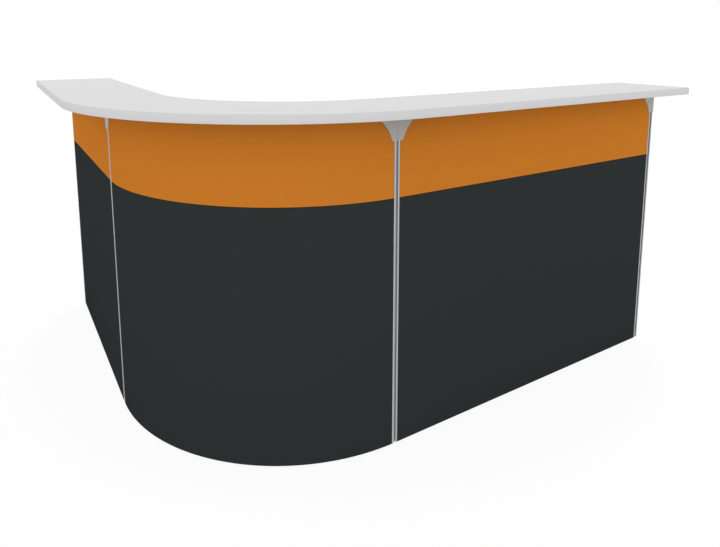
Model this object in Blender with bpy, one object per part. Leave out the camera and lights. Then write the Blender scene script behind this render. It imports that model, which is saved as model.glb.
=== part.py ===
"""L-shaped reception counter: slotted posts carry tiled screens, a ledge for visitors and a worktop inside.

While it is modelled, the right wing's outer face lies on y = 0 and runs along +X, the left wing's outer face
lies on x = 0 and runs along +Y, and a quarter circle joins the two. The finished counter stands on z = 0 with
the middle of its ledge's box on the origin. All sizes are in metres.
"""

import math
from collections import namedtuple

import bmesh
import bpy
from mathutils import Matrix, Vector

# Fits
SEAT_GAP = 0.0003
RUNNING_GAP = 0.0004

# Heights
COUNTER_HEIGHT = 1.050
UPPER_BAND_HEIGHT = 0.2725
WORKTOP_DROP = 0.0475
FLOOR_GAP = 0.004
LEG_FLOOR_GAP = 0.012

# Screens: tiles on both faces of hidden rails, between posts
CORNER_RADIUS = 0.6601
RIGHT_SCREEN_WIDTH = 1.2060
LEFT_SCREEN_WIDTH = 0.8894
SCREEN_THICKNESS = 0.036
TILE_THICKNESS = 0.009
TILE_JOINT = 0.0010
TILE_SIDE_GAP = 0.0005
TILE_EDGE = 0.0010
RAIL_HEIGHT = 0.030
RAIL_WALL = 0.0015

# Posts: one section for all four, grooved outside and slotted inside
POST_WIDTH = 0.019
POST_RECESS = 0.0006
GROOVE_DEPTH = 0.0034
SLOT_MOUTH = 0.007
SLOT_LIP = 0.0016
SLOT_WIDTH = 0.011
SLOT_DEPTH = 0.0062
CHANNEL_DEPTH = 0.0025
COVER_WALL = 0.0012

# Ledge
LEDGE_THICKNESS = 0.025
LEDGE_WIDTH = 0.2985
LEDGE_OVERHANG = 0.1305
LEDGE_RIGHT_REACH = 0.0089
LEDGE_LEFT_REACH = 0.0005
BOARD_EDGE = 0.0010

# Ledge brackets at the heads of the posts
BRACKET_HEIGHT = 0.079
BRACKET_HEAD_WIDTH = 0.176
BRACKET_FOOT_WIDTH = 0.0392
BRACKET_FLARE_RADIUS = 0.125
BRACKET_FOOT_CORNER = 0.003
BRACKET_PLATE = 0.0012
BRACKET_EDGE = 0.0004
BRACKET_SEAM_WIDTH = 0.0010
BRACKET_SEAM_DEPTH = 0.0009
FLANGE_THICKNESS = 0.003
FLANGE_MARGIN = 0.022
FLANGE_CORNER = 0.012
SPIGOT_LENGTH = 0.022

# Worktop
WORKTOP_THICKNESS = 0.025
WORKTOP_DEPTH = 0.600
WORKTOP_BACK_GAP = 0.005
WORKTOP_END_INSET = 0.004
WORKTOP_SWEEP = 0.350
WORKTOP_SEAM_MARGIN = 0.060
JOINT_PLATE_LENGTH = 0.320
JOINT_PLATE_WIDTH = 0.080
JOINT_PLATE_THICKNESS = 0.003

# Cantilever arms that hang the worktop on the posts
ARM_REACH_SHARE = 0.70
ARM_ROOT_HEIGHT = 0.150
ARM_TIP_HEIGHT = 0.028
ARM_WEB = 0.003
ARM_SAG = 0.025
ARM_FLANGE_WIDTH = 0.040
ARM_FLANGE_THICKNESS = 0.003
ARM_FLANGE_START = 0.012
HOOK_HEIGHT = 0.026
HOOK_INSET = 0.012

# Legs at the free corners of the worktop
LEG_RADIUS = 0.025
LEG_WALL = 0.002
LEG_PLUG_HEIGHT = 0.014
LEG_PLATE_RADIUS = 0.050
LEG_PLATE_THICKNESS = 0.004
LEG_SIDE_INSET = 0.085
LEG_END_INSET = 0.110

# Levelling feet
POST_STEM_RADIUS = 0.003
LEG_STEM_RADIUS = 0.004
STEM_LENGTH = 0.034
POST_PAD_RADIUS = 0.0095
LEG_PAD_RADIUS = 0.020
PAD_EDGE = 0.0008

# Cable ports in the worktop
PORT_HOLE_RADIUS = 0.030
PORT_RIM_WIDTH = 0.006
PORT_RIM_THICKNESS = 0.002
PORT_RIM_EDGE = 0.0008
PORT_SLEEVE_WALL = 0.003
PORT_SLEEVE_DEPTH = 0.018
PORT_STEP_WIDTH = 0.002
PORT_STEP_THICKNESS = 0.002
PORT_CAP_THICKNESS = 0.0035
PORT_CAP_EDGE = 0.0005
PORT_NOTCH_WIDTH = 0.015
PORT_NOTCH_DEPTH = 0.017
CORNER_PORT_SETBACK = 0.090
RIGHT_PORT_SETBACK = 0.075

# Smoothness of round forms
CORNER_STEPS = 32
SWEEP_STEPS = 20
FLARE_STEPS = 12
ROUND_STEPS = 20
SMALL_ROUND_STEPS = 12
FILLET_STEPS = 4
SHARP_ANGLE = math.radians(30)
BEVEL_FROM_ANGLE = math.radians(35)

# Levels and lines that follow from the sizes above
UP = Vector((0, 0, 1))
X_AXIS = Vector((1, 0, 0))
Y_AXIS = Vector((0, 1, 0))
HALF_POST = POST_WIDTH / 2
SPLIT_HEIGHT = COUNTER_HEIGHT - UPPER_BAND_HEIGHT
WORKTOP_HEIGHT = SPLIT_HEIGHT - WORKTOP_DROP
LEDGE_UNDERSIDE = COUNTER_HEIGHT - LEDGE_THICKNESS
FLANGE_TOP = LEDGE_UNDERSIDE - SEAT_GAP
FLANGE_UNDERSIDE = FLANGE_TOP - FLANGE_THICKNESS
POST_TOP = FLANGE_UNDERSIDE - SEAT_GAP
RIGHT_BAY = RIGHT_SCREEN_WIDTH + POST_WIDTH
LEFT_BAY = LEFT_SCREEN_WIDTH + POST_WIDTH
MID_SCREEN = SCREEN_THICKNESS / 2
RAIL_DEPTH = SCREEN_THICKNESS - 2 * (TILE_THICKNESS + SEAT_GAP)
POST_BORE = POST_STEM_RADIUS + SEAT_GAP
LEG_BORE = LEG_STEM_RADIUS + SEAT_GAP
WORKTOP_UNDERSIDE = WORKTOP_HEIGHT - WORKTOP_THICKNESS
WORKTOP_BACK = SCREEN_THICKNESS + WORKTOP_BACK_GAP
WORKTOP_FRONT = WORKTOP_BACK + WORKTOP_DEPTH
WORKTOP_SEAM = WORKTOP_FRONT + WORKTOP_SWEEP + WORKTOP_SEAM_MARGIN
ARM_REACH = WORKTOP_DEPTH * ARM_REACH_SHARE
ARM_SLOT_START = ARM_REACH / 8
ARM_SLOT_LENGTH = ARM_REACH / 4
ARM_SLOT_HEIGHT = ARM_ROOT_HEIGHT / 6
ARM_SLOT_DROP = ARM_ROOT_HEIGHT / 4
LEDGE_BACK = LEDGE_WIDTH - LEDGE_OVERHANG
RIGHT_LEDGE_END = RIGHT_BAY + HALF_POST + LEDGE_RIGHT_REACH
LEFT_LEDGE_END = LEFT_BAY + HALF_POST + LEDGE_LEFT_REACH
RIGHT_WORKTOP_END = CORNER_RADIUS + RIGHT_BAY + HALF_POST - WORKTOP_END_INSET
LEFT_WORKTOP_END = CORNER_RADIUS + LEFT_BAY + HALF_POST - WORKTOP_END_INSET
CORNER_CENTRE = Vector((CORNER_RADIUS, CORNER_RADIUS, 0))
PLAN_MIDDLE = Vector(
    (
        (CORNER_RADIUS + RIGHT_LEDGE_END - LEDGE_OVERHANG) / 2,
        (CORNER_RADIUS + LEFT_LEDGE_END - LEDGE_OVERHANG) / 2,
        0,
    )
)

# A wing's frame: where its corner post stands, which way the wing runs, and which way is inside
Wing = namedtuple("Wing", "name corner along inward bay ledge_end worktop_end")
RIGHT = Wing("right", X_AXIS * CORNER_RADIUS, X_AXIS, Y_AXIS, RIGHT_BAY, RIGHT_LEDGE_END, RIGHT_WORKTOP_END)
LEFT = Wing("left", Y_AXIS * CORNER_RADIUS, Y_AXIS, X_AXIS, LEFT_BAY, LEFT_LEDGE_END, LEFT_WORKTOP_END)
WINGS = (LEFT, RIGHT)

# A post's frame, and whether a screen stands on its far side too
Post = namedtuple("Post", "name spot along inward is_end")


def clear_scene():
    for thing in list(bpy.data.objects):
        bpy.data.objects.remove(thing, do_unlink=True)


def finish(name, colour, roughness, metallic=0.0):
    material = bpy.data.materials.new(name)
    material.use_nodes = True
    shader = material.node_tree.nodes["Principled BSDF"]
    shader.inputs["Base Color"].default_value = (*colour, 1.0)
    shader.inputs["Roughness"].default_value = roughness
    shader.inputs["Metallic"].default_value = metallic
    material.diffuse_color = (*colour, 1.0)
    return material


def make_finishes():
    return {
        "orange_fabric": finish("orange_fabric", (0.53, 0.17, 0.022), 0.90),
        "charcoal_fabric": finish("charcoal_fabric", (0.027, 0.031, 0.033), 0.90),
        "white_laminate": finish("white_laminate", (0.78, 0.79, 0.79), 0.40),
        "silver_aluminium": finish("silver_aluminium", (0.60, 0.60, 0.61), 0.35, 1.0),
        "grey_metal": finish("grey_metal", (0.29, 0.29, 0.29), 0.45, 0.6),
        "zinc_steel": finish("zinc_steel", (0.52, 0.53, 0.55), 0.40, 1.0),
        "grey_plastic": finish("grey_plastic", (0.20, 0.21, 0.22), 0.50),
        "black_plastic": finish("black_plastic", (0.02, 0.02, 0.02), 0.55),
    }


def arc(centre, radius, start, end, steps):
    """Points on a circle from one angle to another, both ends included."""
    turns = [start + (end - start) * i / steps for i in range(steps + 1)]
    return [(centre[0] + radius * math.cos(a), centre[1] + radius * math.sin(a)) for a in turns]


def hollow_arc(first, last, radius, steps):
    """Points of an arc of this radius from first to last, bowed to the left of the way from one to the other."""
    start = Vector(first)
    end = Vector(last)
    half = (end - start) / 2
    side = Vector((half.y, -half.x)).normalized()
    centre = start + half + side * math.sqrt(radius**2 - half.length_squared)
    turn = 2 * math.asin(half.length / radius)
    from_centre = start - centre
    begin = math.atan2(from_centre.y, from_centre.x)
    return arc(centre, radius, begin, begin - turn, steps)


def box_outline(low, high):
    return [(low[0], low[1]), (high[0], low[1]), (high[0], high[1]), (low[0], high[1])]


def rounded_box(low, high, radius):
    """Outline of a box whose four corners are rounded."""
    corners = (
        (low[0] + radius, low[1] + radius),
        (high[0] - radius, low[1] + radius),
        (high[0] - radius, high[1] - radius),
        (low[0] + radius, high[1] - radius),
    )
    outline = []
    for quarter, centre in enumerate(corners):
        begin = math.pi + quarter * math.pi / 2
        outline += arc(centre, radius, begin, begin + math.pi / 2, FILLET_STEPS)
    return outline


def circle(centre, radius, steps):
    return arc(centre, radius, 0, 2 * math.pi, steps)[:-1]


def slab(outline, axes, low, high, holes=()):
    """Solid whose outline lies along the first two axes and which runs from low to high along the third."""
    first, second, third = axes
    mesh = bmesh.new()
    for loop in (outline, *holes):
        corners = [mesh.verts.new(first * u + second * v + third * low) for u, v in loop]
        if not holes:
            mesh.faces.new(corners)
        for near, far in zip(corners, corners[1:] + corners[:1]):
            if holes:
                mesh.edges.new((near, far))
    if holes:
        bmesh.ops.triangle_fill(mesh, use_beauty=True, edges=mesh.edges[:])
    raised = bmesh.ops.extrude_face_region(mesh, geom=mesh.faces[:])
    lifted = [item for item in raised["geom"] if isinstance(item, bmesh.types.BMVert)]
    bmesh.ops.translate(mesh, verts=lifted, vec=third * (high - low))
    bmesh.ops.recalc_face_normals(mesh, faces=mesh.faces[:])
    return mesh


def corner_run(section, inset):
    """Solid of a section, given as distance inside the outer face and height, swept round the corner.

    Inset is how far from the middle of the corner posts the run stops.
    """
    inmost = CORNER_RADIUS - max(depth for depth, height in section)
    trim = math.asin(inset / inmost)
    mesh = bmesh.new()
    mesh.faces.new([mesh.verts.new((CORNER_RADIUS, depth, height)) for depth, height in section])
    turn = Matrix.Rotation(-trim, 3, "Z")
    bmesh.ops.rotate(mesh, cent=CORNER_CENTRE, matrix=turn, verts=mesh.verts[:])
    bmesh.ops.spin(
        mesh,
        geom=mesh.verts[:] + mesh.edges[:] + mesh.faces[:],
        cent=CORNER_CENTRE,
        axis=-UP,
        angle=math.pi / 2 - 2 * trim,
        steps=CORNER_STEPS,
    )
    bmesh.ops.recalc_face_normals(mesh, faces=mesh.faces[:])
    return mesh


def wing_run(section, wing, start, end):
    """Solid of a section, given as distance inside the outer face and height, run along a straight wing."""
    return slab(section, (wing.inward, UP, wing.along), start, end)


def turned(profile, steps, is_ring=False):
    """Solid of a profile of radius and height turned about the vertical axis."""
    mesh = bmesh.new()
    points = [mesh.verts.new((radius, 0, height)) for radius, height in profile]
    pairs = list(zip(points, points[1:]))
    if is_ring:
        pairs.append((points[-1], points[0]))
    edges = [mesh.edges.new(pair) for pair in pairs]
    bmesh.ops.spin(
        mesh, geom=points + edges, cent=(0, 0, 0), axis=UP, angle=2 * math.pi, steps=steps, use_merge=True
    )
    bmesh.ops.remove_doubles(mesh, verts=mesh.verts[:], dist=SEAT_GAP / 100)
    bmesh.ops.recalc_face_normals(mesh, faces=mesh.faces[:])
    return mesh


def piece(name, mesh, material, origin, spot=(0, 0, 0)):
    """A named object made of a mesh, standing at a spot of the plan."""
    data = bpy.data.meshes.new(name)
    mesh.to_mesh(data)
    mesh.free()
    data.materials.append(material)
    data.shade_smooth()
    data.set_sharp_from_angle(angle=SHARP_ANGLE)
    thing = bpy.data.objects.new(name, data)
    thing.parent = origin
    thing.location = spot
    bpy.context.collection.objects.link(thing)
    return thing


def round_edges(thing, width, segments=2):
    bevel = thing.modifiers.new("edges", "BEVEL")
    bevel.width = width
    bevel.segments = segments
    bevel.limit_method = "ANGLE"
    bevel.angle_limit = BEVEL_FROM_ANGLE


def combine(thing, other, operation):
    """Joins or cuts with another object, which stays as a hidden helper."""
    boolean = thing.modifiers.new(other.name, "BOOLEAN")
    boolean.operation = operation
    boolean.object = other
    other.hide_render = True
    other.display_type = "WIRE"


def channel_section(low, height, opens_up):
    """Section of a rail: a channel between the two layers of tiles."""
    front = MID_SCREEN - RAIL_DEPTH / 2
    back = MID_SCREEN + RAIL_DEPTH / 2
    high = low + height
    web, rim = (low, high) if opens_up else (high, low)
    inner_web = web + RAIL_WALL if opens_up else web - RAIL_WALL
    return [
        (front, web),
        (back, web),
        (back, rim),
        (back - RAIL_WALL, rim),
        (back - RAIL_WALL, inner_web),
        (front + RAIL_WALL, inner_web),
        (front + RAIL_WALL, rim),
        (front, rim),
    ]


def make_screens(finishes, origin):
    """Rails that reach into the posts' channels, and an upper and a lower tile on each face of every screen."""
    rails = {
        "bottom_rail": channel_section(FLOOR_GAP, RAIL_HEIGHT, True),
        "middle_rail": channel_section(SPLIT_HEIGHT - RAIL_HEIGHT / 2, RAIL_HEIGHT, True),
        "top_rail": channel_section(POST_TOP - RAIL_HEIGHT, RAIL_HEIGHT, False),
    }
    outer = (0, TILE_THICKNESS)
    inner = (SCREEN_THICKNESS - TILE_THICKNESS, SCREEN_THICKNESS)
    lower = (FLOOR_GAP, SPLIT_HEIGHT - TILE_JOINT / 2)
    upper = (SPLIT_HEIGHT + TILE_JOINT / 2, POST_TOP)
    tiles = {}
    for face, (front, back) in (("outer", outer), ("inner", inner)):
        for level, (low, high) in (("lower", lower), ("upper", upper)):
            tiles[f"{face}_{level}_tile"] = box_outline((front, low), (back, high))
    rail_inset = HALF_POST - CHANNEL_DEPTH + SEAT_GAP
    tile_inset = HALF_POST + TILE_SIDE_GAP
    for name, section in rails.items():
        rail = finishes["zinc_steel"]
        piece(f"corner_{name}", corner_run(section, rail_inset), rail, origin)
        for wing in WINGS:
            mesh = wing_run(section, wing, rail_inset, wing.bay - rail_inset)
            piece(f"{wing.name}_{name}", mesh, rail, origin, wing.corner)
    for name, section in tiles.items():
        cover = finishes["orange_fabric" if "upper" in name else "charcoal_fabric"]
        round_edges(piece(f"corner_{name}", corner_run(section, tile_inset), cover, origin), TILE_EDGE, 1)
        for wing in WINGS:
            mesh = wing_run(section, wing, tile_inset, wing.bay - tile_inset)
            round_edges(piece(f"{wing.name}_{name}", mesh, cover, origin, wing.corner), TILE_EDGE, 1)


def post_section():
    """Outline of a post across the screen: a groove outside, a T-slot inside and a channel in each side.

    The outer face lies a little behind the tiles. The channels take the ends of the rails.
    """
    mouth = SLOT_MOUTH / 2
    slot = SLOT_WIDTH / 2
    channel = HALF_POST - CHANNEL_DEPTH
    channel_half = RAIL_DEPTH / 2 + SEAT_GAP
    lip = SCREEN_THICKNESS - SLOT_LIP
    right_half = [
        (mouth, POST_RECESS + GROOVE_DEPTH),
        (mouth, POST_RECESS),
        (HALF_POST, POST_RECESS),
        (HALF_POST, MID_SCREEN - channel_half),
        (channel, MID_SCREEN - channel_half),
        (channel, MID_SCREEN + channel_half),
        (HALF_POST, MID_SCREEN + channel_half),
        (HALF_POST, SCREEN_THICKNESS),
        (mouth, SCREEN_THICKNESS),
        (mouth, lip),
        (slot, lip),
        (slot, SCREEN_THICKNESS - SLOT_DEPTH),
    ]
    return right_half + [(-s, d) for s, d in reversed(right_half)]


def cover_section():
    """Outline of the strip that closes the open channel at a free end: a thin face with two gripping walls."""
    half = RAIL_DEPTH / 2
    face = HALF_POST
    root = HALF_POST - CHANNEL_DEPTH + SEAT_GAP
    skin = face - COVER_WALL
    return [
        (face, MID_SCREEN - half),
        (face, MID_SCREEN + half),
        (root, MID_SCREEN + half),
        (root, MID_SCREEN + half - COVER_WALL),
        (skin, MID_SCREEN + half - COVER_WALL),
        (skin, MID_SCREEN - half + COVER_WALL),
        (root, MID_SCREEN - half + COVER_WALL),
        (root, MID_SCREEN - half),
    ]


def list_posts():
    posts = []
    for wing in WINGS:
        end = wing.corner + wing.along * wing.bay
        posts.append(Post(f"{wing.name}_corner", wing.corner, wing.along, wing.inward, False))
        posts.append(Post(f"{wing.name}_end", end, wing.along, wing.inward, True))
    return posts


def make_post(post, finishes, origin):
    axes = (post.along, post.inward, UP)
    bore = circle((0, MID_SCREEN), POST_BORE, SMALL_ROUND_STEPS)
    mesh = slab(post_section(), axes, FLOOR_GAP, POST_TOP, holes=[bore])
    piece(f"{post.name}_post", mesh, finishes["silver_aluminium"], origin, post.spot)
    if post.is_end:
        strip = slab(cover_section(), axes, FLOOR_GAP, POST_TOP)
        piece(f"{post.name}_cover", strip, finishes["grey_plastic"], origin, post.spot)


def bracket_outline(is_end):
    """Front view of a ledge bracket below the flange's top: a foot that flares out to a wide head.

    At a free end only the lobe over the screen is there, and the other side is flush with the post.
    """
    head = BRACKET_HEAD_WIDTH / 2
    foot = BRACKET_FOOT_WIDTH / 2
    bottom = -BRACKET_HEIGHT
    corner = bottom + BRACKET_FOOT_CORNER
    flare = hollow_arc((-head, 0), (-foot, corner), BRACKET_FLARE_RADIUS, FLARE_STEPS)
    toe = (-foot + BRACKET_FOOT_CORNER, corner)
    lobe = flare + arc(toe, BRACKET_FOOT_CORNER, math.pi, 1.5 * math.pi, FILLET_STEPS)[1:]
    if is_end:
        return lobe + [(HALF_POST, bottom), (HALF_POST, 0)]
    return lobe + [(-s, h) for s, h in reversed(lobe)]


def make_bracket(post, finishes, origin):
    """A flared plate on the post's face, hung from a flange that carries the ledge and is pinned to the post."""
    metal = finishes["grey_metal"]
    far_side = HALF_POST if post.is_end else BRACKET_HEAD_WIDTH / 2
    flange_outline = rounded_box(
        (-BRACKET_HEAD_WIDTH / 2, FLANGE_MARGIN - LEDGE_OVERHANG),
        (far_side, LEDGE_BACK - FLANGE_MARGIN),
        FLANGE_CORNER,
    )
    flange = slab(flange_outline, (post.along, post.inward, UP), FLANGE_UNDERSIDE, FLANGE_TOP)
    bracket = piece(f"{post.name}_ledge_bracket", flange, metal, origin, post.spot)
    plate_back = -SEAT_GAP
    plate_face = plate_back - BRACKET_PLATE
    front = [(s, FLANGE_TOP + h) for s, h in bracket_outline(post.is_end)]
    plate = slab(front, (post.along, UP, post.inward), plate_face, plate_back)
    plate_piece = piece(f"{post.name}_bracket_plate", plate, metal, origin, post.spot)
    round_edges(plate_piece, BRACKET_EDGE, segments=1)
    seam_box = box_outline(
        (-BRACKET_SEAM_WIDTH / 2, plate_face - BRACKET_SEAM_DEPTH),
        (BRACKET_SEAM_WIDTH / 2, plate_face + BRACKET_SEAM_DEPTH),
    )
    seam_low = FLANGE_TOP - 2 * BRACKET_HEIGHT
    seam = slab(seam_box, (post.along, post.inward, UP), seam_low, FLANGE_UNDERSIDE)
    combine(plate_piece, piece(f"{post.name}_bracket_seam", seam, metal, origin, post.spot), "DIFFERENCE")
    pin_outline = circle((0, MID_SCREEN), POST_STEM_RADIUS, SMALL_ROUND_STEPS)
    pin_axes = (post.along, post.inward, UP)
    pin = slab(pin_outline, pin_axes, POST_TOP - SPIGOT_LENGTH, FLANGE_TOP - FLANGE_THICKNESS / 2)
    combine(bracket, plate_piece, "UNION")
    combine(bracket, piece(f"{post.name}_bracket_pin", pin, metal, origin, post.spot), "UNION")


def make_ledge(finishes, origin):
    """Three boards that meet over the corner posts."""
    board = box_outline((-LEDGE_OVERHANG, LEDGE_UNDERSIDE), (LEDGE_BACK, COUNTER_HEIGHT))
    white = finishes["white_laminate"]
    seam = SEAT_GAP / 2
    round_edges(piece("corner_ledge", corner_run(board, seam), white, origin), BOARD_EDGE)
    for wing in WINGS:
        mesh = wing_run(board, wing, seam, wing.ledge_end)
        round_edges(piece(f"{wing.name}_ledge", mesh, white, origin, wing.corner), BOARD_EDGE)


def corner_worktop_outline():
    """Plan of the corner board: round behind to follow the screen, and swept in front where one sits."""
    behind = arc(CORNER_CENTRE, CORNER_RADIUS - WORKTOP_BACK, 1.5 * math.pi, math.pi, CORNER_STEPS)
    sweep_centre = (WORKTOP_FRONT + WORKTOP_SWEEP, WORKTOP_FRONT + WORKTOP_SWEEP)
    sweep = arc(sweep_centre, WORKTOP_SWEEP, math.pi, 1.5 * math.pi, SWEEP_STEPS)
    seam = WORKTOP_SEAM - SEAT_GAP / 2
    right_end = [(seam, WORKTOP_FRONT), (seam, WORKTOP_BACK)]
    left_end = [(WORKTOP_BACK, seam), (WORKTOP_FRONT, seam)]
    return right_end + behind + left_end + sweep


def corner_port_spot():
    reach = CORNER_RADIUS - WORKTOP_BACK - CORNER_PORT_SETBACK
    diagonal = Vector((-1, -1, 0)).normalized()
    return CORNER_CENTRE + diagonal * reach


def right_port_spot():
    middle = (WORKTOP_SEAM + RIGHT_WORKTOP_END) / 2
    return Vector((middle, WORKTOP_BACK + RIGHT_PORT_SETBACK, 0))


def make_worktop(finishes, origin):
    """A corner board and one board along each wing, with a steel plate under each seam."""
    white = finishes["white_laminate"]
    plan = (X_AXIS, Y_AXIS, UP)
    corner_hole = circle(corner_port_spot(), PORT_HOLE_RADIUS, ROUND_STEPS)
    right_hole = circle(right_port_spot(), PORT_HOLE_RADIUS, ROUND_STEPS)
    near = WORKTOP_SEAM + SEAT_GAP / 2
    boards = {
        "corner_worktop": (corner_worktop_outline(), [corner_hole]),
        "right_worktop": (
            box_outline((near, WORKTOP_BACK), (RIGHT_WORKTOP_END, WORKTOP_FRONT)),
            [right_hole],
        ),
        "left_worktop": (box_outline((WORKTOP_BACK, near), (WORKTOP_FRONT, LEFT_WORKTOP_END)), []),
    }
    for name, (outline, holes) in boards.items():
        mesh = slab(outline, plan, WORKTOP_UNDERSIDE, WORKTOP_HEIGHT, holes=holes)
        round_edges(piece(name, mesh, white, origin), BOARD_EDGE)
    plate_top = WORKTOP_UNDERSIDE - SEAT_GAP
    middle = (WORKTOP_BACK + WORKTOP_FRONT) / 2
    outline = rounded_box(
        (-JOINT_PLATE_WIDTH / 2, middle - JOINT_PLATE_LENGTH / 2),
        (JOINT_PLATE_WIDTH / 2, middle + JOINT_PLATE_LENGTH / 2),
        FLANGE_CORNER,
    )
    for wing in WINGS:
        axes = (wing.along, wing.inward, UP)
        mesh = slab(outline, axes, plate_top - JOINT_PLATE_THICKNESS, plate_top)
        spot = wing.along * WORKTOP_SEAM
        piece(f"{wing.name}_joint_plate", mesh, finishes["zinc_steel"], origin, spot)


def arm_outline(top):
    """Side view of a cantilever arm: hooks in the post's slot, a straight top and a hollow underside."""
    root = SCREEN_THICKNESS + SEAT_GAP
    tip = root + ARM_REACH
    hook = SCREEN_THICKNESS - SLOT_DEPTH + SEAT_GAP
    foot = top - ARM_ROOT_HEIGHT
    span = math.hypot(ARM_REACH, ARM_ROOT_HEIGHT - ARM_TIP_HEIGHT)
    radius = (span**2 / 4 + ARM_SAG**2) / (2 * ARM_SAG)
    under = hollow_arc((root, foot), (tip, top - ARM_TIP_HEIGHT), radius, FLARE_STEPS)
    lower_hook = (foot + HOOK_INSET, foot + HOOK_INSET + HOOK_HEIGHT)
    upper_hook = (top - HOOK_INSET - HOOK_HEIGHT, top - HOOK_INSET)
    back = []
    for low, high in (lower_hook, upper_hook):
        back += [(root, low), (hook, low), (hook, high), (root, high)]
    return [(root, top), (tip, top)] + under[::-1] + back


def arm_slot(top):
    """The long hole that lightens an arm."""
    start = SCREEN_THICKNESS + ARM_SLOT_START
    low = (start, top - ARM_SLOT_DROP - ARM_SLOT_HEIGHT / 2)
    high = (start + ARM_SLOT_LENGTH, top - ARM_SLOT_DROP + ARM_SLOT_HEIGHT / 2)
    return rounded_box(low, high, ARM_SLOT_HEIGHT / 2 - SEAT_GAP)


def make_arm(post, finishes, origin):
    steel = finishes["grey_metal"]
    top = WORKTOP_UNDERSIDE - SEAT_GAP
    side_axes = (post.inward, UP, post.along)
    web = slab(arm_outline(top), side_axes, -ARM_WEB / 2, ARM_WEB / 2, holes=[arm_slot(top)])
    arm = piece(f"{post.name}_arm", web, steel, origin, post.spot)
    outer_side = HALF_POST if post.is_end else ARM_FLANGE_WIDTH / 2
    outline = rounded_box(
        (outer_side - ARM_FLANGE_WIDTH, SCREEN_THICKNESS + ARM_FLANGE_START),
        (outer_side, SCREEN_THICKNESS + ARM_REACH + ARM_FLANGE_START),
        FLANGE_CORNER,
    )
    flange = slab(outline, (post.along, post.inward, UP), top - ARM_FLANGE_THICKNESS, top)
    combine(arm, piece(f"{post.name}_arm_flange", flange, steel, origin, post.spot), "UNION")


def leg_spots():
    """Where the legs stand: near the free inner corner of each wing's board."""
    side = WORKTOP_FRONT - LEG_SIDE_INSET
    return {wing.name: wing.inward * side + wing.along * (wing.worktop_end - LEG_END_INSET) for wing in WINGS}


def make_legs(finishes, origin):
    """A round tube with a plate welded to its head and a plug for the foot's thread in its lower end."""
    head = WORKTOP_UNDERSIDE - SEAT_GAP
    neck = head - LEG_PLATE_THICKNESS
    bottom = LEG_FLOOR_GAP
    plug = bottom + LEG_PLUG_HEIGHT
    profile = [
        (0, head),
        (LEG_PLATE_RADIUS, head),
        (LEG_PLATE_RADIUS, neck),
        (LEG_RADIUS, neck),
        (LEG_RADIUS, bottom),
        (LEG_BORE, bottom),
        (LEG_BORE, plug),
        (LEG_RADIUS - LEG_WALL, plug),
        (LEG_RADIUS - LEG_WALL, neck),
        (0, neck),
    ]
    for name, spot in leg_spots().items():
        piece(f"{name}_leg", turned(profile, ROUND_STEPS), finishes["silver_aluminium"], origin, spot)


def foot_profile(pad_radius, pad_height, stem_radius):
    """A round pad with a softened edge and a threaded stem that stands up from it."""
    shoulder = min(pad_height / 2, pad_radius / 2)
    return [
        (0, 0),
        (pad_radius - PAD_EDGE, 0),
        (pad_radius, PAD_EDGE),
        (pad_radius, pad_height - shoulder),
        (pad_radius - shoulder, pad_height),
        (stem_radius, pad_height),
        (stem_radius, pad_height + STEM_LENGTH),
        (0, pad_height + STEM_LENGTH),
    ]


def make_feet(posts, finishes, origin):
    post_profile = foot_profile(POST_PAD_RADIUS, FLOOR_GAP - RUNNING_GAP, POST_STEM_RADIUS)
    leg_profile = foot_profile(LEG_PAD_RADIUS, LEG_FLOOR_GAP - RUNNING_GAP, LEG_STEM_RADIUS)
    black = finishes["black_plastic"]
    for post in posts:
        spot = post.spot + post.inward * MID_SCREEN
        piece(f"{post.name}_foot", turned(post_profile, ROUND_STEPS), black, origin, spot)
    for name, spot in leg_spots().items():
        piece(f"{name}_leg_foot", turned(leg_profile, ROUND_STEPS), black, origin, spot)


def port_liner_profile():
    """Section of a port's liner: a rim on the board, a sleeve through it and a step that carries the cap."""
    rim_low = WORKTOP_HEIGHT + SEAT_GAP
    rim_high = rim_low + PORT_RIM_THICKNESS
    rim = PORT_HOLE_RADIUS + PORT_RIM_WIDTH
    sleeve = PORT_HOLE_RADIUS - SEAT_GAP
    inside = sleeve - PORT_SLEEVE_WALL
    step = inside - PORT_STEP_WIDTH
    step_high = rim_high - PORT_CAP_THICKNESS - RUNNING_GAP
    bottom = WORKTOP_HEIGHT - PORT_SLEEVE_DEPTH
    return [
        (inside, rim_high),
        (rim - PORT_RIM_EDGE, rim_high),
        (rim, rim_high - PORT_RIM_EDGE),
        (rim, rim_low),
        (sleeve, rim_low),
        (sleeve, bottom),
        (inside, bottom),
        (inside, step_high - PORT_STEP_THICKNESS),
        (step, step_high - PORT_STEP_THICKNESS),
        (step, step_high),
        (inside, step_high),
    ]


def port_cap_outline():
    """A disc with a round-bottomed notch in its edge for the cables."""
    radius = PORT_HOLE_RADIUS - SEAT_GAP - PORT_SLEEVE_WALL - RUNNING_GAP
    half = PORT_NOTCH_WIDTH / 2
    opening = math.asin(half / radius)
    rim = arc((0, 0), radius, opening, 2 * math.pi - opening, ROUND_STEPS)
    notch_centre = (radius - PORT_NOTCH_DEPTH + half, 0)
    notch = arc(notch_centre, half, 1.5 * math.pi, 0.5 * math.pi, ROUND_STEPS // 2)
    return rim + notch


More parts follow.
